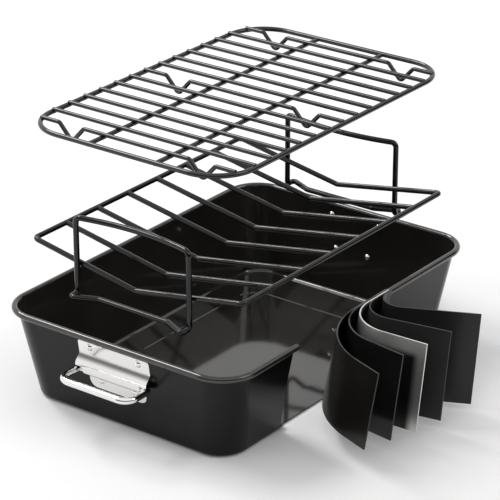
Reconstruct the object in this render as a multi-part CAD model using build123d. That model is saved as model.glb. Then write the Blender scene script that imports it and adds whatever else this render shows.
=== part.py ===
from build123d import *
import os
from math import asin, atan, cos, degrees, hypot, radians, sin, sqrt, tan

# Roasting pan with a V-shaped roasting rack and a flat cooling rack, in millimetres.
# The origin is the middle of the pan's flat base, where it meets the table.
# X runs along the pan, towards its far handle, -Y is the side that is cut open, and Z is up.
# The racks are drawn lifted clear of the pan, one above the other.

# Driving dimensions of the pan
pan_length = 407.7
pan_width = 283.3
pan_height = 95.2
rim_bead = 6.4
rim_corner = 38.6
sheet = 1.0
wall_draft = 9.4
base_corner = 30.0
bottom_radius = 5.0
panel_length = 270.0
panel_width = 179.0
panel_corner = 22.0
panel_drop = 0.8

# Driving dimensions of the cut through the front wall
cut_left = 90.6
cut_right = 52.0
cut_depth = 25.45
cut_slant = 9.4

# Driving dimensions of the five wall layers that fan out of the cut
leaf_run = 100.0
leaf_thickness = 1.35
leaf_turns = (70, 82, 92, 100, 115)
leaf_corner_shares = (1.205, 0.976, 0.82, 0.598, 0.394)
leaf_bend_shares = (0.97, 0.58, 0.455, 0.29, 0.21)
leaf_run_shares = (1.03, 0.93, 0.96, 0.994, 1.09)
leaf_slant_shares = (0.03, 0.01, 0.01, 0.02, 0.052)
leaf_foot_shares = (0.209, 0.121, 0.099, 0.083, 0.068)
leaf_names = ("inner_top_coat_layer", "inner_base_coat_layer", "steel_core_layer",
              "outer_primer_layer", "outer_coat_layer")

# Driving dimensions of the handles
handle_height = 58.2
plate_sheet = 1.2
plate_width = 85.0
plate_top = 29.0
plate_bend = 14.0
plate_corner = 2.5
lower_flange_width = 68.0
lower_flange_drop = 20.6
lower_flange_corner = 8.0
knuckle_depth = 9.4
knuckle_crest = 7.9
knuckle_lip = 4.9
flange_bend = 4.0
crest_bend = 5.0
web_bend = 1.6
bail_wire = 6.8
bail_reach = 30.8
bail_width = 83.5
bail_pin = 20.0
bail_corner = 12.0
bail_root_bend = 4.0
pivot_clearance = 0.1
rivet_shank = 4.8
rivet_head = 7.6
rivet_head_rise = 2.1
rivet_tail = 6.2
rivet_tail_rise = 1.7
upper_rivet_spread = 58.4
upper_rivet_rise = 24.0
lower_rivet_spread = 40.0
lower_rivet_drop = 10.6

# Driving dimensions of the V-shaped rack
v_rack_lift = 111.2
v_rack_height = 39.5
v_depth = 21.6
v_frame_wire = 5.3
v_cross_wire = 5.3
v_side_gap = 0.4
v_corner_bend = 5.0
v_kink_bend = 8.0
v_bay_count = 7
loop_wire = 5.6
loop_width = 134.0
loop_height = 77.5
loop_bow = 15.0
loop_bow_share = 0.85
loop_corner_bend = 5.0
foot_reach = 11.6
foot_climb_share = 0.72
foot_inset = 25.5
foot_root_bend = 4.0
foot_tip_bend = 3.2
foot_return_bend = 5.0

# Driving dimensions of the flat rack
flat_rack_length = 362.0
flat_rack_width = 237.2
flat_rack_corner = 42.0
flat_rack_lift = 78.2
flat_frame_wire = 5.0
flat_long_wire = 4.5
flat_long_spread = 78.4
flat_cross_wire = 4.2
flat_cross_rise = 2.2
flat_long_drop = 0.8
flat_end_margin = 22.1
flat_wire_count = 15
dip_spread = 153.0
dip_depth = 16.0
dip_opening = 29.5
dip_top_bend = 3.8
dip_tip_bend = 3.8

# Clearances
rest_gap = 0.3
cut_overrun = 20.0

# Sizes that follow from the driving dimensions
slope = tan(radians(wall_draft))
rim_z = pan_height - rim_bead / 2
bead_x = pan_length / 2 - rim_bead / 2
bead_y = pan_width / 2 - rim_bead / 2
bead_corner = rim_corner - rim_bead / 2
wall_step = sheet / cos(radians(wall_draft))
base_x = pan_length / 2 - rim_bead + sheet - slope * rim_z
base_y = pan_width / 2 - rim_bead + sheet - slope * rim_z
wall_top_corner = bead_corner - (bead_x - base_x - slope * rim_z)
floor_z = panel_drop + sheet


def wall_x(z):
    """Half length of the pan's outer wall at a height."""
    return base_x + slope * z


def wall_y(z):
    """Half width of the pan's outer wall at a height."""
    return base_y + slope * z


def wall_corner(z):
    """Plan radius of the pan's outer corner at a height."""
    return base_corner + (wall_top_corner - base_corner) * z / rim_z


def unit(vector):
    """The vector's direction, with length one."""
    return vector.normalized()


def bent_edges(points, bends, closed=False):
    """Straight runs through the points, with an arc of the given radius at each bend."""
    points = [Vector(p) for p in points]
    count = len(points)
    corners = range(count) if closed else range(1, count - 1)
    starts = {}
    ends = {}
    arcs = {}
    for i, bend in zip(corners, bends):
        here = points[i]
        into = unit(here - points[i - 1])
        out = unit(points[(i + 1) % count] - here)
        turn = radians(into.get_angle(out))
        reach = bend * tan(turn / 2)
        starts[i] = here - into * reach
        ends[i] = here + out * reach
        if reach > 0:
            inward = unit(out - into)
            middle = here + inward * (bend / cos(turn / 2) - bend)
            arcs[i] = Edge.make_three_point_arc(starts[i], middle, ends[i])
    edges = []
    for i in range(count if closed else count - 1):
        j = (i + 1) % count
        a = ends.get(i, points[i])
        b = starts.get(j, points[j])
        edges.append(Edge.make_line(a, b))
        if j in arcs:
            edges.append(arcs[j])
    return edges


def bent_wire_solid(points, bends, diameter, closed=False):
    """A round wire bent along the points."""
    path = Wire(bent_edges(points, bends, closed))
    section = Plane(origin=path @ 0, z_dir=path % 0) * Circle(diameter / 2)
    return sweep(section, path=path)


def straight_wire_solid(start, end, diameter):
    """A straight round wire between two points."""
    start = Vector(start)
    end = Vector(end)
    run = end - start
    return extrude(Plane(origin=start, z_dir=unit(run)) * Circle(diameter / 2), run.length)


def shifted(points, bends, shift):
    """The plan polyline and its bends, moved to its left by a shift."""
    points = [Vector(p) for p in points]
    runs = [unit(b - a) for a, b in zip(points, points[1:])]
    lefts = [Vector(-r.Y, r.X) for r in runs]
    moved = [points[0] + lefts[0] * shift]
    radii = []
    for i, bend in enumerate(bends):
        left_turn = runs[i].cross(runs[i + 1]).Z > 0
        moved.append(points[i + 1] + (lefts[i] + lefts[i + 1]) * (shift / (1 + lefts[i].dot(lefts[i + 1]))))
        radii.append(bend - shift if left_turn else bend + shift)
    moved.append(points[-1] + lefts[-1] * shift)
    return moved, radii


def ribbon(points, bends, thickness, z=0):
    """Closed outline of a bent sheet seen on edge, centred on the polyline."""
    left, left_bends = shifted(points, bends, thickness / 2)
    right, right_bends = shifted(points, bends, -thickness / 2)
    right = right[::-1]
    right_bends = right_bends[::-1]
    edges = bent_edges(left, left_bends)
    edges.append(Edge.make_line(left[-1], right[0]))
    edges += bent_edges(right, right_bends)
    edges.append(Edge.make_line(right[-1], left[0]))
    return Wire(edges).moved(Location((0, 0, z)))


def tapered_block(low, high, half_x, half_y, corner, inset=0):
    """Solid between two heights whose plan follows the three functions, moved in by an inset."""
    plans = []
    for z in (low, high):
        outline = RectangleRounded(2 * (half_x(z) - inset), 2 * (half_y(z) - inset), corner(z) - inset)
        plans.append(Pos(0, 0, z) * outline)
    return loft(plans, ruled=True)


def round_bottom(block, radius):
    """The block with its bottom edge rounded."""
    return fillet(block.faces().sort_by(Axis.Z)[0].edges(), radius)


def panel_block(low, high, taper_from, spread):
    """Block of the stamped base panel, which narrows downwards at 45 degrees."""
    return tapered_block(
        low, high,
        lambda z: panel_length / 2 + spread + z - taper_from,
        lambda z: panel_width / 2 + spread + z - taper_from,
        lambda z: panel_corner + spread + z - taper_from,
    )


def front_cut():
    """The body that is cut away from the front wall."""
    lean = tan(radians(cut_slant))
    low = -cut_overrun
    high = pan_height + cut_overrun
    outline = Polyline(
        (-cut_left - lean * low, low),
        (cut_right, low),
        (cut_right, high),
        (-cut_left - lean * high, high),
        close=True,
    )
    reach = cut_depth - pan_width / 2
    return Pos(0, reach, 0) * extrude(Plane.XZ * make_face(outline), cut_depth + cut_overrun)


def rivet_places():
    """Places of a handle's four rivets on its wall, across and up from the pivot's foot."""
    places = []
    for side in (-1, 1):
        places.append((side * upper_rivet_spread / 2, upper_rivet_rise))
        places.append((side * lower_rivet_spread / 2, -lower_rivet_drop))
    return places


def handle_plane(end):
    """Frame on the outer wall at a pan's end: x across, y up the wall, z out of it."""
    normal = Vector(end * cos(radians(wall_draft)), 0, -sin(radians(wall_draft)))
    return Plane(origin=(end * wall_x(handle_height), 0, handle_height), x_dir=(0, end, 0), z_dir=normal)


def rivet_hole_pins(end):
    """Bars through the wall and plate where the rivets go."""
    bar = Cylinder(rivet_shank / 2, 2 * cut_overrun)
    return [handle_plane(end).location * Pos(x, y, 0) * bar for x, y in rivet_places()]


def pan_shell():
    """Drawn pan with a rolled rim, a stamped base panel and the opened front wall."""
    outer = tapered_block(panel_drop, rim_z + sheet / 2, wall_x, wall_y, wall_corner)
    outer = round_bottom(outer, bottom_radius)
    inner = tapered_block(floor_z, rim_z + rim_bead, wall_x, wall_y, wall_corner, wall_step)
    inner = round_bottom(inner, bottom_radius - sheet)
    sheet_shift = sheet * (sqrt(2) - 1)
    pan = outer + panel_block(0, panel_drop, 0, sheet_shift)
    pan = pan - inner - panel_block(sheet, floor_z, sheet, 0)
    rim_points = [(bead_x, bead_y, rim_z), (-bead_x, bead_y, rim_z),
                  (-bead_x, -bead_y, rim_z), (bead_x, -bead_y, rim_z)]
    rim_path = Wire(bent_edges(rim_points, [bead_corner] * 4, closed=True))
    rim_frame = Plane(origin=rim_path @ 0, z_dir=rim_path % 0)
    bead = sweep(rim_frame * Circle(rim_bead / 2), path=rim_path)
    bore = sweep(rim_frame * Circle(rim_bead / 2 - sheet), path=rim_path)
    pan = pan + bead - bore - front_cut()
    for end in (-1, 1):
        for pin in rivet_hole_pins(end):
            pan = pan - pin
    return pan


def leaf(index):
    """One layer of the wall, bent out of the cut, leaning as the wall does."""
    turn = radians(leaf_turns[index])
    wall_face = wall_y(pan_height) - wall_step
    root_y = -wall_face - (index + 1 / 2) * leaf_thickness
    corner_x = cut_right - leaf_corner_shares[index] * leaf_run
    heading = Vector(-cos(turn), -sin(turn))
    root = Vector(cut_right, root_y)
    corner = Vector(corner_x, root_y)
    bend = leaf_bend_shares[index] * leaf_run
    run = leaf_run_shares[index] * leaf_run
    slant = leaf_slant_shares[index] * leaf_run
    foot_z = leaf_foot_shares[index] * pan_height
    lean = slope * (pan_height - foot_z)
    top = ribbon([root, corner, corner + heading * run], [bend], leaf_thickness, pan_height)
    low_points, low_bends = shifted([root, corner, corner + heading * (run - slant)], [bend], -lean)
    low = ribbon(low_points, low_bends, leaf_thickness, foot_z)
    return Solid.make_loft([low, top], ruled=True)


def pin_depth():
    """Distance of a bail's pins from the wall's outer face."""
    return knuckle_depth - plate_sheet - pivot_clearance - bail_wire / 2


def handle_plate():
    """Strap that is riveted to the wall and rolled over the bail's pins."""
    half = plate_sheet / 2
    front = knuckle_depth - half
    web = -bail_wire / 2 - pivot_clearance - half
    strap_points = [
        (half, plate_top),
        (half, plate_bend),
        (front, knuckle_crest),
        (front, web),
        (half, web),
        (half, -lower_flange_drop),
    ]
    knuckle_bend = bail_wire / 2 + pivot_clearance + half
    strap_bends = [flange_bend, crest_bend, knuckle_bend, web_bend]
    section = Face(ribbon(strap_points, strap_bends, plate_sheet))
    across = Plane(origin=(plate_width / 2, 0, 0), x_dir=(0, 0, 1), z_dir=(-1, 0, 0))
    strap = extrude(across * section, plate_width, dir=(-1, 0, 0))
    upper = Rectangle(plate_width, plate_top - knuckle_lip, align=(Align.CENTER, Align.MIN))
    upper = fillet(upper.vertices().group_by(Axis.Y)[-1], plate_corner)
    lower_height = lower_flange_drop + plate_bend
    lower = Rectangle(lower_flange_width, lower_height, align=(Align.CENTER, Align.MIN))
    lower = fillet(lower.vertices().group_by(Axis.Y)[0], lower_flange_corner)
    outline = Pos(0, knuckle_lip, 0) * upper + Pos(0, -lower_flange_drop, 0) * lower
    plate = strap & extrude(outline, knuckle_depth)
    bar = Cylinder(rivet_shank / 2, 2 * cut_overrun)
    for x, y in rivet_places():
        plate = plate - Pos(x, y, 0) * bar
    return plate


def dome_arc(radius, rise, base, way):
    """Arc of a rivet's domed end, from its rim to its crown."""
    ball = (radius * radius + rise * rise) / (2 * rise)
    half_angle = asin(radius / ball) / 2
    middle = (ball * sin(half_angle), base + way * (rise - ball + ball * cos(half_angle)))
    return ThreePointArc((radius, base), middle, (0, base + way * rise))


def rivet():
    """One rivet, with its head outside the plate and its tail inside the pan."""
    grip = sheet + plate_sheet
    shank = rivet_shank / 2
    head = rivet_head / 2
    tail = rivet_tail / 2
    profile = [
        dome_arc(head, rivet_head_rise, 0, 1),
        Line((0, rivet_head_rise), (0, -grip - rivet_tail_rise)),
        dome_arc(tail, rivet_tail_rise, -grip, -1),
        Line((tail, -grip), (shank, -grip)),
        Line((shank, -grip), (shank, 0)),
        Line((shank, 0), (head, 0)),
    ]
    face = Plane.XZ * make_face([line.edge() for line in profile])
    return revolve(face, Axis.Z)


def handle_rivets():
    """The four rivets of one handle."""
    one = rivet()
    return Compound(children=[Pos(x, y, plate_sheet) * one for x, y in rivet_places()])


def bail(end):
    """Drop handle with its ends turned in as pivot pins, standing straight out."""
    pivot = handle_plane(end).from_local_coords(Vector(0, 0, pin_depth()))
    grip_x = pivot.X + end * bail_reach
    half = bail_width / 2
    tip = half - bail_pin
    points = [
        (pivot.X, -tip, pivot.Z),
        (pivot.X, -half, pivot.Z),
        (grip_x, -half, pivot.Z),
        (grip_x, half, pivot.Z),
        (pivot.X, half, pivot.Z),
        (pivot.X, tip, pivot.Z),
    ]
    bends = [bail_root_bend, bail_corner, bail_corner, bail_root_bend]
    return bent_wire_solid(points, bends, bail_wire)


# Seat of the V-rack's feet, in the pan's hollow bottom radius
hollow_radius = bottom_radius - sheet
hollow_z = floor_z + hollow_radius
hollow_x = wall_x(hollow_z) - wall_step - hollow_radius / cos(radians(wall_draft))
foot_room = hollow_radius - loop_wire / 2 - rest_gap
foot_x = hollow_x + foot_climb_share * foot_room
seat_z = hollow_z - foot_room * sqrt(1 - foot_climb_share ** 2)

# Places that the racks share
loop_x = foot_x - foot_reach
frame_x = loop_x - v_frame_wire / 2 - loop_wire / 2
loop_bottom_z = seat_z + v_rack_lift
loop_top_z = loop_bottom_z + loop_height
v_top_z = loop_bottom_z + v_rack_height
v_low_z = v_top_z - v_depth
frame_y = wall_y(v_top_z - v_rack_lift) - wall_step - v_side_gap - v_frame_wire / 2
long_z = loop_top_z + loop_wire / 2 + flat_long_wire / 2 + rest_gap + flat_rack_lift
flat_z = long_z + flat_long_drop


def v_rack_frame():
    """Closed edge wire of the V-rack, straight along its sides and dipped across its ends."""
    points = []
    bends = []
    for end in (1, -1):
        points += [(end * frame_x, end * frame_y, v_top_z), (end * frame_x, 0, v_low_z),
                   (end * frame_x, -end * frame_y, v_top_z)]
        bends += [v_corner_bend, v_kink_bend, v_corner_bend]
    return bent_wire_solid(points, bends, v_frame_wire, closed=True)


def v_rack_cross_wire(index, frame):
    """One V-shaped wire across the rack, butted to the edge wire's sides."""
    x = frame_x * (2 * index / v_bay_count - 1)
    points = [(x, -frame_y, v_top_z), (x, 0, v_low_z), (x, frame_y, v_top_z)]
    return bent_wire_solid(points, [v_kink_bend], v_cross_wire) - frame


def v_rack_loop(end):
    """Upright end loop: a bowed bar on top, and two feet that stand out below."""
    half = loop_width / 2
    inner = half - foot_inset
    plane_x = end * loop_x
    tip_x = end * foot_x
    bow_x = end * (loop_x - loop_bow)
    top_run = hypot(half, loop_bow)
    top_bend = loop_bow_share * top_run / tan(atan(loop_bow / half))
    points = [
        (plane_x, half, loop_top_z),
        (bow_x, 0, loop_top_z),
        (plane_x, -half, loop_top_z),
        (plane_x, -half, loop_bottom_z),
        (tip_x, -half, loop_bottom_z),
        (plane_x, -inner, loop_bottom_z),
        (plane_x, inner, loop_bottom_z),
        (tip_x, half, loop_bottom_z),
        (plane_x, half, loop_bottom_z),
    ]
    bends = [loop_corner_bend, top_bend, loop_corner_bend, foot_root_bend, foot_tip_bend,
             foot_return_bend, foot_return_bend, foot_tip_bend, foot_root_bend]
    return bent_wire_solid(points, bends, loop_wire, closed=True)


def flat_rack_frame():
    """Closed rounded edge wire of the flat rack."""
    half_x = flat_rack_length / 2
    half_y = flat_rack_width / 2
    points = [(half_x, half_y, flat_z), (-half_x, half_y, flat_z),
              (-half_x, -half_y, flat_z), (half_x, -half_y, flat_z)]
    return bent_wire_solid(points, [flat_rack_corner] * 4, flat_frame_wire, closed=True)


def flat_rack_long_wire(side, frame):
    """One long wire, a little below the flat rack's edge wire and butted to its ends."""
    half_x = flat_rack_length / 2
    y = side * flat_long_spread / 2
    return straight_wire_solid((-half_x, y, long_z), (half_x, y, long_z), flat_long_wire) - frame


def cross_wire_end(x):
    """Half length of the flat rack's cross wire at a place along it, up to the edge wire."""
    past_corner = abs(x) - (flat_rack_length / 2 - flat_rack_corner)
    drop = 0
    if past_corner > 0:
        drop = flat_rack_corner - sqrt(flat_rack_corner ** 2 - past_corner ** 2)
    return flat_rack_width / 2 - drop


def flat_rack_cross_wire(index, welded):
    """One wire across the flat rack, sunk by its welds into the edge and long wires."""
    reach = flat_rack_length / 2 - flat_end_margin
    x = reach * (2 * index / (flat_wire_count - 1) - 1)
    end = cross_wire_end(x)
    z = flat_z + flat_cross_rise
    points = [(x, -end, z)]
    bends = []
    if index in footed_wires:
        for side in (-1, 1):
            middle = side * dip_spread / 2
            points += [(x, middle - dip_opening / 2, z), (x, middle, z - dip_depth),
                       (x, middle + dip_opening / 2, z)]
            bends += [dip_top_bend, dip_tip_bend, dip_top_bend]
    points.append((x, end, z))
    wire = bent_wire_solid(points, bends, flat_cross_wire)
    for other in welded:
        wire = wire - other
    return wire


footed_wires = (0, flat_wire_count // 2, flat_wire_count - 1)


def build_nodes():
    """Every sub-part by its node's name."""
    nodes = {"pan_shell": pan_shell()}
    for index, name in enumerate(leaf_names):
        nodes[name] = leaf(index)
    plate = handle_plate()
    rivets = handle_rivets()
    for name, end in (("near", -1), ("far", 1)):
        place = handle_plane(end).location
        nodes[name + "_handle_plate"] = place * plate
        nodes[name + "_handle_rivets"] = place * rivets
        nodes[name + "_bail"] = bail(end)
    v_frame = v_rack_frame()
    nodes["v_rack_frame"] = v_frame
    for index in range(1, v_bay_count):
        nodes[f"v_rack_cross_wire_{index}"] = v_rack_cross_wire(index, v_frame)
    nodes["v_rack_near_loop"] = v_rack_loop(-1)
    nodes["v_rack_far_loop"] = v_rack_loop(1)
    flat_frame = flat_rack_frame()
    nodes["flat_rack_frame"] = flat_frame
    front_wire = flat_rack_long_wire(-1, flat_frame)
    back_wire = flat_rack_long_wire(1, flat_frame)
    nodes["flat_rack_front_long_wire"] = front_wire
    nodes["flat_rack_back_long_wire"] = back_wire
    welded = (flat_frame, front_wire, back_wire)
    for index in range(flat_wire_count):
        kind = "footed_wire" if index in footed_wires else "cross_wire"
        nodes[f"flat_rack_{kind}_{index + 1:02d}"] = flat_rack_cross_wire(index, welded)
    return nodes


os.makedirs("parts", exist_ok=True)
for name, shape in build_nodes().items():
    export_step(shape, f"parts/{name}.step")
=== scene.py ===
import math
from collections import namedtuple

import bpy
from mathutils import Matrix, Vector


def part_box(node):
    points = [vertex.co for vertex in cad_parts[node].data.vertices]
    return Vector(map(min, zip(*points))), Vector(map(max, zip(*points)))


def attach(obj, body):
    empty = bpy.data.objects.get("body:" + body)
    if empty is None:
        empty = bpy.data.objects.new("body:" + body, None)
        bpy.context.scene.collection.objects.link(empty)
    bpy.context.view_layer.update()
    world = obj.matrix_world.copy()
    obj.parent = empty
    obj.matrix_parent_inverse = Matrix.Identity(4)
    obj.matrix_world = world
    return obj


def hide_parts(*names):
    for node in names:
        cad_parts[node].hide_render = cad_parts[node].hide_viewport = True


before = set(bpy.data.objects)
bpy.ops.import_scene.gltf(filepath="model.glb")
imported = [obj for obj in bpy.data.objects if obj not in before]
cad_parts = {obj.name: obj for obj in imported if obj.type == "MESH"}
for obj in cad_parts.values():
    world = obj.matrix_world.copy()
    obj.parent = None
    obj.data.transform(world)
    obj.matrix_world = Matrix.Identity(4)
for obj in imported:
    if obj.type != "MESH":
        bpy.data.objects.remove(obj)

MM = 0.001

# Heights and slope that part the pan's inside from its outside
FLOOR_TOP = 12 * MM
FLAT_ENOUGH = 0.5
WALL_TOP = 90 * MM
BEAD_LOW = 88.6 * MM

# The end of the front wall's cut, as the CAD has it, and how near to it its vertices lie
CUT_PLACE = -90.6 * MM
CUT_LEAN = 0.16555
CUT_SIDE = -115.5 * MM
CUT_REACH = 0.8 * MM
# How far the photograph's cut lies from it, in millimetres: height and shift along the pan
CUT_SHIFTS = (
    (0, -10.4), (20, -7.1), (40, -5.0), (60, -3.0), (70, -0.5),
    (86, 4.6), (89, 5.0), (91, 7.0), (96, 8.5),
)

# Tints, as a share of a colour's value in red, green and blue
GREY = (1.01, 1.0, 0.98)
WARM = (1.12, 1.0, 0.84)

# Coatings: tint, low and high colour, low and high roughness, sprayed grain and its strength
Coating = namedtuple("Coating", "tint colours gloss grain texture ior", defaults=(900.0, 0.02, 1.5))
COATINGS = {
    "pan_inside": Coating(WARM, (0.014, 0.022), (0.05, 0.08), texture=0.01, ior=1.68),
    "pan_outside": Coating(GREY, (0.003, 0.005), (0.18, 0.22), ior=1.30),
    "v_rack_coating": Coating(GREY, (0.003, 0.006), (0.08, 0.12), 1500.0, 0.01, 1.45),
    "flat_rack_coating": Coating(GREY, (0.004, 0.008), (0.10, 0.14), 1500.0, 0.01, 1.55),
    "gloss_coat": Coating(WARM, (0.008, 0.014), (0.12, 0.18)),
    "base_coat": Coating(GREY, (0.008, 0.012), (0.12, 0.18)),
    "primer": Coating(GREY, (0.012, 0.018), (0.4, 0.5)),
    "outer_coat": Coating(GREY, (0.010, 0.016), (0.3, 0.4)),
}
COATED_LAYERS = {
    "inner_top_coat_layer": "gloss_coat",
    "inner_base_coat_layer": "base_coat",
    "outer_primer_layer": "primer",
    "outer_coat_layer": "outer_coat",
}

# Steels: low and high colour, low and high roughness, the brushing's stretch, scale and strength
Steel = namedtuple("Steel", "colours gloss stretch scale texture")
STEELS = {
    "bare_steel": Steel((0.90, 0.95), (0.28, 0.34), (1, 1, 0.05), 40.0, 0.01),
    "plate_steel": Steel((0.78, 0.84), (0.11, 0.15), (1, 0.05, 1), 40.0, 0.006),
    "bail_steel": Steel((0.80, 0.86), (0.06, 0.09), (1, 0.1, 1), 40.0, 0.004),
    "rivet_steel": Steel((0.78, 0.84), (0.06, 0.10), (1, 1, 1), 60.0, 0.03),
}
BRUSHING_PULL = 0.85
BRUSHING_TURN = 0.25

# Noise: detail and roughness, the part of its range that the colours fill, and bump depths
EVEN = 0.5
CLOUD_SCALE, CLOUD_DETAIL = 14.0, 4.0
GLOSS_SCALE, GLOSS_DETAIL = 30.0, 5.0
SPRAY_DETAIL = 2.0
BRUSH_DETAIL, BRUSH_ROUGHNESS = 6.0, 0.65
CLOUD_RANGE = (0.35, 0.65)
BRUSH_RANGE = (0.3, 0.7)
SPRAY_DEPTH = 0.2 * MM
BRUSH_DEPTH = 0.05 * MM

# Painted reflections: darker bands painted into the steel's colour where it mirrors dark
# surroundings: heights on the strap, and distances from the layer's tip and top
STRAP_BAND = (66.5 * MM, 70.6 * MM, 74.6 * MM)
STRAP_SHADE = 0.16
LAYER_TIP = (5 * MM, 14 * MM)
LAYER_ROOT = (40 * MM, 75 * MM)
LAYER_TOP = (9 * MM, 17 * MM)
LAYER_SHADE = 0.05

# The studio's floor, dark screen and world
FLOOR_REACH = 6.0
FLOOR_COLOUR = 0.9
FLOOR_GLOW = 0.08
SCREEN_RADIUS = 2.75
SCREEN_HEIGHT = 1.35
SCREEN_ANGLES = (152, 336)
SCREEN_PANELS = 12
SCREEN_COLOUR = 0.03
WORLD_ON_OBJECT = 0.72
WORLD_SEEN = 1.0

# Suns: the direction they stand in, their angle in degrees, and what each adds to a white floor
SUNS = {
    "key": ((0.24, 1.0, 0.95), 12, 0.14),
    "fill": ((0.3, -1.0, 0.7), 30, 0.08),
}
# The soft box behind the object
BOX_PLACE = (-0.39, 1.43, 2.13)
BOX_TARGET = (0, 0, 0.1)
BOX_SIZE = (1.0, 0.6)
BOX_WATTS = 20

# The camera, at the photograph's viewing angle
CAMERA_PLACE = (-1.8028, -1.3614, 1.12194)
CAMERA_AZIMUTH = -53.15
CAMERA_ELEVATION = 23.95
CAMERA_LENS = 181.77
CAMERA_SENSOR = 36.0
CAMERA_REACH = 50.0

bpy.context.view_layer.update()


def new_object(name, data):
    """An object in the scene."""
    thing = bpy.data.objects.new(name, data)
    bpy.context.scene.collection.objects.link(thing)
    return thing


def new_mesh(name, corners, faces):
    """A mesh from its corners and faces."""
    mesh = bpy.data.meshes.new(name)
    mesh.from_pydata(corners, [], faces)
    return mesh


def tinted(value, tint):
    """A colour of a value, with a tint."""
    return tuple(value * share for share in tint)


def new_material(name):
    """A node material, its tree and its Principled shader."""
    material = bpy.data.materials.new(name)
    material.use_nodes = True
    tree = material.node_tree
    return material, tree, tree.nodes["Principled BSDF"]


def object_noise(tree, scale, detail, roughness=EVEN, stretch=(1, 1, 1)):
    """Noise in the object's own coordinates, stretched along its axes."""
    place = tree.nodes.new("ShaderNodeTexCoord")
    mapping = tree.nodes.new("ShaderNodeMapping")
    mapping.inputs["Scale"].default_value = stretch
    noise = tree.nodes.new("ShaderNodeTexNoise")
    noise.inputs["Scale"].default_value = scale
    noise.inputs["Detail"].default_value = detail
    noise.inputs["Roughness"].default_value = roughness
    tree.links.new(place.outputs["Object"], mapping.inputs["Vector"])
    tree.links.new(mapping.outputs["Vector"], noise.inputs["Vector"])
    return noise.outputs["Fac"]


def colour_ramp(tree, source, colours, limits, socket):
    """A socket's colour, between two colours over part of a value's range."""
    node = tree.nodes.new("ShaderNodeValToRGB")
    for element, colour, position in zip(node.color_ramp.elements, colours, limits):
        element.position = position
        element.color = (*colour, 1)
    tree.links.new(source, node.inputs["Fac"])
    tree.links.new(node.outputs["Color"], socket)


def value_span(tree, source, limits, socket):
    """A socket's value, mapped from 0..1 to a range."""
    node = tree.nodes.new("ShaderNodeMapRange")
    node.inputs["To Min"].default_value, node.inputs["To Max"].default_value = limits
    tree.links.new(source, node.inputs["Value"])
    tree.links.new(node.outputs["Result"], socket)


def bump(tree, source, strength, depth, shader):
    """Bump from a height value."""
    node = tree.nodes.new("ShaderNodeBump")
    node.inputs["Strength"].default_value = strength
    node.inputs["Distance"].default_value = depth
    tree.links.new(source, node.inputs["Height"])
    tree.links.new(node.outputs["Normal"], shader.inputs["Normal"])


def math_node(tree, operation, first, second):
    """The result of an operation on two values."""
    node = tree.nodes.new("ShaderNodeMath")
    node.operation = operation
    tree.links.new(first, node.inputs[0])
    tree.links.new(second, node.inputs[1])
    return node.outputs["Value"]


def coating(name):
    """Dark non-stick coating: faint cloudy colour, uneven gloss and a fine sprayed texture."""
    spec = COATINGS[name]
    material, tree, shader = new_material(name)
    colours = [tinted(value, spec.tint) for value in spec.colours]
    cloud = object_noise(tree, CLOUD_SCALE, CLOUD_DETAIL)
    colour_ramp(tree, cloud, colours, CLOUD_RANGE, shader.inputs["Base Color"])
    gloss = object_noise(tree, GLOSS_SCALE, GLOSS_DETAIL)
    value_span(tree, gloss, spec.gloss, shader.inputs["Roughness"])
    spray = object_noise(tree, spec.grain, SPRAY_DETAIL)
    bump(tree, spray, spec.texture, SPRAY_DEPTH, shader)
    shader.inputs["IOR"].default_value = spec.ior
    return material


def steel(kind, prefix=""):
    """Polished steel with fine brushing along one axis."""
    spec = STEELS[kind]
    material, tree, shader = new_material(prefix + kind)
    shader.inputs["Metallic"].default_value = 1.0
    colours = [tinted(value, GREY) for value in spec.colours]
    grain = object_noise(tree, spec.scale, BRUSH_DETAIL, BRUSH_ROUGHNESS, spec.stretch)
    colour_ramp(tree, grain, colours, BRUSH_RANGE, shader.inputs["Base Color"])
    value_span(tree, grain, spec.gloss, shader.inputs["Roughness"])
    bump(tree, grain, spec.texture, BRUSH_DEPTH, shader)
    return material


def matt(name, value):
    """A plain surface without gloss, for the studio."""
    material, _, shader = new_material(name)
    shader.inputs["Base Color"].default_value = (value, value, value, 1)
    shader.inputs["Roughness"].default_value = 1.0
    shader.inputs["Specular IOR Level"].default_value = 0.0
    return material


def brush_upright(material):
    """Rolled steel's grain, which draws its highlights out up and down."""
    tree = material.node_tree
    shader = tree.nodes["Principled BSDF"]
    tangent = tree.nodes.new("ShaderNodeTangent")
    tangent.direction_type = "RADIAL"
    tangent.axis = "Z"
    tree.links.new(tangent.outputs["Tangent"], shader.inputs["Tangent"])
    shader.inputs["Anisotropic"].default_value = BRUSHING_PULL
    shader.inputs["Anisotropic Rotation"].default_value = BRUSHING_TURN


def along(tree, axis, low, high):
    """Zero to one, smoothly, between two places on an axis of the object."""
    place = tree.nodes.new("ShaderNodeTexCoord")
    parts = tree.nodes.new("ShaderNodeSeparateXYZ")
    tree.links.new(place.outputs["Object"], parts.inputs["Vector"])
    node = tree.nodes.new("ShaderNodeMapRange")
    node.interpolation_type = "SMOOTHSTEP"
    node.inputs["From Min"].default_value = low
    node.inputs["From Max"].default_value = high
    tree.links.new(parts.outputs[axis], node.inputs["Value"])
    return node.outputs["Result"]


def shade(material, amount, value):
    """Painted reflection: the colour darkened towards a grey, by an amount from zero to one."""
    tree = material.node_tree
    socket = tree.nodes["Principled BSDF"].inputs["Base Color"]
    mix = tree.nodes.new("ShaderNodeMixRGB")
    mix.inputs["Color2"].default_value = (*tinted(value, GREY), 1)
    tree.links.new(amount, mix.inputs["Fac"])
    tree.links.new(socket.links[0].from_socket, mix.inputs["Color1"])
    tree.links.new(mix.outputs["Color"], socket)


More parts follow.
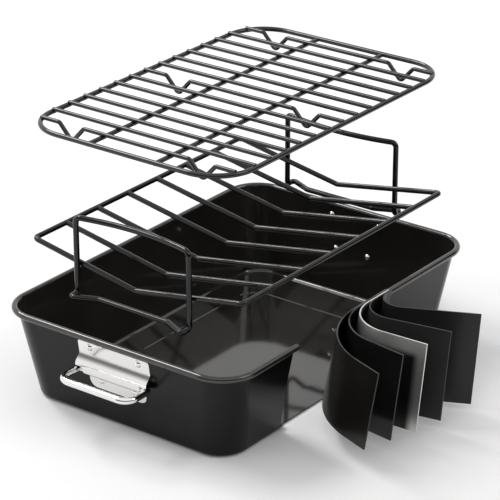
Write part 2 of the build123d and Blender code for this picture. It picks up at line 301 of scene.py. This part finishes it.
def paint_strap_reflection(material):
    """Painted reflection: a darker band painted into the strap's colour where it turns out over the
    bail.
    """
    tree = material.node_tree
    low, middle, high = STRAP_BAND
    rise = along(tree, "Z", low, middle)
    fall = along(tree, "Z", high, middle)
    shade(material, math_node(tree, "MULTIPLY", rise, fall), STRAP_SHADE)


def paint_layer_reflection(material):
    """Painted reflection: the bare steel layer's dark middle, painted between its bright top and
    tip.
    """
    tree = material.node_tree
    tip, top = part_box("steel_core_layer")[0][1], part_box("steel_core_layer")[1][2]
    past_tip = along(tree, "Y", tip + LAYER_TIP[0], tip + LAYER_TIP[1])
    before_root = along(tree, "Y", tip + LAYER_ROOT[1], tip + LAYER_ROOT[0])
    below_top = along(tree, "Z", top - LAYER_TOP[0], top - LAYER_TOP[1])
    inner = math_node(tree, "MULTIPLY", past_tip, before_root)
    shade(material, math_node(tree, "MULTIPLY", inner, below_top), LAYER_SHADE)


def dress(names, material):
    """Gives CAD nodes their material."""
    for name in names:
        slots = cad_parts[name].data.materials
        slots.clear()
        slots.append(material)


def cut_shift(height):
    """How far the cut's end moves along the pan at a height."""
    z = max(CUT_SHIFTS[0][0], min(CUT_SHIFTS[-1][0], height / MM))
    for (low, near), (high, far) in zip(CUT_SHIFTS, CUT_SHIFTS[1:]):
        if z <= high:
            return (near + (far - near) * (z - low) / (high - low)) * MM


def recut_shell(name):
    """The pan's shell with the end of its cut where the photograph has it."""
    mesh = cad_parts[name].data.copy()
    shell = new_object("pan_shell_as_cut", mesh)
    for vertex in mesh.vertices:
        x, y, z = vertex.co
        if y < CUT_SIDE and abs(x - CUT_PLACE + CUT_LEAN * z) < CUT_REACH:
            vertex.co.x += cut_shift(z)
    mesh.update()
    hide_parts(name)
    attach(shell, "pan")
    return shell


def dress_inside(mesh, material):
    """A second material for the faces that look into the pan and for the rim."""
    mesh.materials.append(material)
    for polygon in mesh.polygons:
        middle, normal = polygon.center, polygon.normal
        floor_face = normal.z > FLAT_ENOUGH and middle.z < FLOOR_TOP
        inward = normal.x * middle.x + normal.y * middle.y < 0
        if floor_face or (inward and middle.z < WALL_TOP) or middle.z > BEAD_LOW:
            polygon.material_index = 1


def dress_pan():
    """The pan's shell, in two coatings, and the peeled layers of its wall."""
    inside = coating("pan_inside")
    outside = coating("pan_outside")
    shell = recut_shell("pan_shell")
    shell.data.materials.clear()
    shell.data.materials.append(outside)
    dress_inside(shell.data, inside)
    dress(["pan_shell"], outside)
    for layer, kind in COATED_LAYERS.items():
        dress([layer], coating(kind))
    bare = steel("bare_steel")
    brush_upright(bare)
    # Paints the layer's dark middle reflection into its colour
    paint_layer_reflection(bare)
    dress(["steel_core_layer"], bare)


def dress_racks():
    """The two racks' wires."""
    for rack in ("v_rack", "flat_rack"):
        wires = [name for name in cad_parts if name.startswith(rack)]
        dress(wires, coating(f"{rack}_coating"))


def dress_handles():
    """The straps, bails and rivets at both ends."""
    for end in ("near", "far"):
        strap = steel("plate_steel", f"{end}_")
        # Paints a darker reflection band into the strap's colour
        paint_strap_reflection(strap)
        dress([f"{end}_handle_plate"], strap)
        dress([f"{end}_bail"], steel("bail_steel", f"{end}_"))
        dress([f"{end}_handle_rivets"], steel("rivet_steel", f"{end}_"))


def seen_directly(tree):
    """One where the camera or a reflection looks, else zero."""
    path = tree.nodes.new("ShaderNodeLightPath")
    camera, glossy = path.outputs["Is Camera Ray"], path.outputs["Is Glossy Ray"]
    return math_node(tree, "MAXIMUM", camera, glossy)


def make_floor():
    """Plain white floor that keeps the shadow."""
    r = FLOOR_REACH
    corners = [(-r, -r, 0), (r, -r, 0), (r, r, 0), (-r, r, 0)]
    floor = new_object("floor", new_mesh("floor", corners, [(0, 1, 2, 3)]))
    material = matt("floor_white", FLOOR_COLOUR)
    tree = material.node_tree
    shader = tree.nodes["Principled BSDF"]
    shader.inputs["Emission Color"].default_value = (1, 1, 1, 1)
    value_span(tree, seen_directly(tree), (0, FLOOR_GLOW), shader.inputs["Emission Strength"])
    floor.data.materials.append(material)


def make_screen():
    """The dark side of the studio, curved round behind the camera and seen in reflections only."""
    first, last = SCREEN_ANGLES
    corners = []
    for index in range(SCREEN_PANELS + 1):
        turn = math.radians(first + (last - first) * index / SCREEN_PANELS)
        x, y = SCREEN_RADIUS * math.cos(turn), SCREEN_RADIUS * math.sin(turn)
        corners += [(x, y, 0), (x, y, SCREEN_HEIGHT)]
    panels = [(2 * i, 2 * i + 2, 2 * i + 3, 2 * i + 1) for i in range(SCREEN_PANELS)]
    screen = new_object("dark_screen", new_mesh("dark_screen", corners, panels))
    screen.data.materials.append(matt("dark_cloth", SCREEN_COLOUR))
    screen.visible_camera = False


def sun(name, toward, angle, level):
    """A distant soft light from a direction; level is what it adds to a white floor."""
    data = bpy.data.lights.new(name, "SUN")
    data.angle = math.radians(angle)
    direction = Vector(toward).normalized()
    data.energy = level * math.pi / direction.z
    lamp = new_object(name, data)
    lamp.location = direction * FLOOR_REACH
    lamp.rotation_mode = "QUATERNION"
    lamp.rotation_quaternion = direction.to_track_quat("Z", "Y")


def make_soft_box():
    """A rectangular soft lamp above and behind the object."""
    data = bpy.data.lights.new("back box", "AREA")
    data.shape = "RECTANGLE"
    data.size, data.size_y = BOX_SIZE
    data.energy = BOX_WATTS
    lamp = new_object("back box", data)
    lamp.location = BOX_PLACE
    lamp.rotation_mode = "QUATERNION"
    away = Vector(BOX_PLACE) - Vector(BOX_TARGET)
    lamp.rotation_quaternion = away.to_track_quat("Z", "Y")


def make_world():
    """White studio: plain light on the object, and white where the camera or a reflection looks."""
    world = bpy.data.worlds.new("studio")
    bpy.context.scene.world = world
    world.use_nodes = True
    tree = world.node_tree
    back = tree.nodes["Background"]
    back.inputs["Color"].default_value = (1, 1, 1, 1)
    limits = (WORLD_ON_OBJECT, WORLD_SEEN)
    value_span(tree, seen_directly(tree), limits, back.inputs["Strength"])


def make_camera():
    """The camera where the photograph was taken from."""
    data = bpy.data.cameras.new("camera")
    data.lens = CAMERA_LENS
    data.sensor_width = CAMERA_SENSOR
    data.clip_end = CAMERA_REACH
    camera = new_object("camera", data)
    camera.location = CAMERA_PLACE
    a, e = math.radians(CAMERA_AZIMUTH), math.radians(CAMERA_ELEVATION)
    back = Vector((math.sin(a) * math.cos(e), -math.cos(a) * math.cos(e), math.sin(e)))
    camera.rotation_mode = "QUATERNION"
    camera.rotation_quaternion = (-back).to_track_quat("-Z", "Y")
    bpy.context.scene.camera = camera


dress_pan()
dress_racks()
dress_handles()
make_floor()
make_world()
for name, (toward, angle, level) in SUNS.items():
    sun(name, toward, angle, level)
make_soft_box()
make_screen()
make_camera()
bpy.context.scene.view_settings.view_transform = "Standard"
